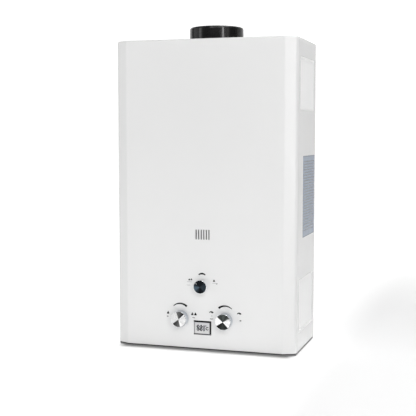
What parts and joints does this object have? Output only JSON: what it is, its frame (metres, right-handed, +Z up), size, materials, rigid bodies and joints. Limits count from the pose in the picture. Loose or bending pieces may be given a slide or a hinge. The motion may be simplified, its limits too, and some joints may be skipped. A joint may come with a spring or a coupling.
{
  "type": "tankless gas water heater",
  "caption": "Wall-hung instantaneous gas water heater: white folded casing with angled front edges, black flue collar, viewing slots, rotary knobs, display and side air grilles.",
  "frame": {"origin": "bottom centre of the whole heater, on the resting rim under the casing", "axes": "+Z up towards the flue collar, the front with the knobs faces -Y, +X to the right of someone facing the front"},
  "size_m": [0.34, 0.18, 0.59],
  "materials": {
    "white_paint": "smooth white enamel, satin gloss",
    "zinc_sheet": "galvanised sheet, spangled",
    "black_paint": "black heat-proof paint, semi gloss",
    "white_plastic": "moulded white plastic",
    "black_plastic": "moulded black plastic",
    "clear_glass": "flat clear pane",
    "lcd_grey": "grey liquid crystal panel",
    "circuit_board": "solder-masked board",
    "chrome_knob": "plated plastic",
    "spun_metal": "circularly spun face",
    "dark_chrome": "dark plated plastic",
    "dark_spun": "dark circularly spun face",
    "copper": "drawn copper, heat-toned",
    "steel": "stainless sheet",
    "die_cast": "die-cast alloy, shot blasted",
    "brass": "turned brass",
    "ceramic": "glazed insulator",
    "rubber": "moulded rubber",
    "blue_plastic": "moulded blue plastic",
    "grey_plastic": "moulded grey plastic",
    "cell_jacket": "plain dry-cell jacket"
  },
  "bodies": {
    "casing": {"front_cover": "white_paint", "edge_trim": "rubber", "back_plate": "zinc_sheet", "top_panel": "zinc_sheet", "base_tray": "zinc_sheet", "flue_collar": "black_paint", "grille_right_upper": "white_plastic", "grille_right_lower": "white_plastic", "grille_left_upper": "white_plastic", "grille_left_lower": "white_plastic", "view_window": "clear_glass", "window_frame": "zinc_sheet", "casing_screws": "steel", "display_bezel": "black_plastic", "lcd_panel": "lcd_grey", "display_board": "circuit_board", "flue_hood": "zinc_sheet", "heat_exchanger": "copper", "combustion_chamber": "copper", "coil_pipe": "copper", "burner_bars": "steel", "burner_frame": "zinc_sheet", "gas_manifold": "die_cast", "burner_nozzles": "brass", "season_valve": "die_cast", "ignition_electrodes": "ceramic", "flame_probe": "ceramic", "frame_brackets": "zinc_sheet", "gas_valve_body": "die_cast", "gas_inlet_fitting": "brass", "solenoid_valve": "blue_plastic", "gas_riser": "die_cast", "water_valve_body": "brass", "water_valve_cover": "brass", "valve_diaphragm": "rubber", "valve_spring": "steel", "micro_switch": "black_plastic", "valve_screws": "steel", "water_inlet_fitting": "brass", "hot_outlet_fitting": "brass", "cold_pipe": "copper", "hot_pipe": "copper", "overheat_thermostat": "ceramic", "temp_probe": "grey_plastic", "igniter_box": "grey_plastic", "battery_box": "black_plastic", "batteries": "cell_jacket"},
    "season_knob": {"season_knob": "dark_chrome", "season_knob_face": "dark_spun", "season_spindle": "brass"},
    "gas_knob": {"gas_knob": "chrome_knob", "gas_knob_face": "spun_metal", "gas_spindle": "brass"},
    "water_knob": {"water_knob": "chrome_knob", "water_knob_face": "spun_metal", "water_spindle": "brass"},
    "battery_door": {"battery_door": "black_plastic"},
    "drain_plug": {"drain_plug": "blue_plastic"},
    "flow_rod": {"push_rod": "brass"},
    "switch_lever": {"switch_lever": "steel"}
  },
  "joints": [
    {"name": "season_turn", "type": "hinge", "parent": "casing", "child": "season_knob", "pos_m": [-0.0032, -0.082, 0.1193], "axis": [0, 1, 0], "range_deg": [0, 100]},
    {"name": "gas_turn", "type": "hinge", "parent": "casing", "child": "gas_knob", "pos_m": [-0.0431, -0.083, 0.0582], "axis": [0, 1, 0], "range_deg": [-120, 0]},
    {"name": "water_turn", "type": "hinge", "parent": "casing", "child": "water_knob", "pos_m": [0.0408, -0.083, 0.0582], "axis": [0, 1, 0], "range_deg": [-120, 0]},
    {"name": "battery_door_hinge", "type": "hinge", "parent": "casing", "child": "battery_door", "pos_m": [0.115, 0.0818, 0.037], "axis": [1, 0, 0], "range_deg": [0, 90]},
    {"name": "drain_turn", "type": "hinge", "parent": "casing", "child": "drain_plug", "pos_m": [0.06, -0.002, 0.03], "axis": [0, 0, 1], "range_deg": [0, 90]},
    {"name": "rod_slide", "type": "slide", "parent": "casing", "child": "flow_rod", "axis": [-1, 0, 0], "range_m": [0, 0.004], "stiffness_N_per_m": 400, "springref_m": -0.004, "deforming": ["valve_spring"]},
    {"name": "lever_turn", "type": "hinge", "parent": "casing", "child": "switch_lever", "pos_m": [-0.0063, -0.0275, 0.066], "axis": [0, 1, 0], "range_deg": [0, 24]}
  ],
  "couplings": [
    {"joint": "lever_turn", "follows": "rod_slide", "rad_per_m": 102.5}
  ]
}
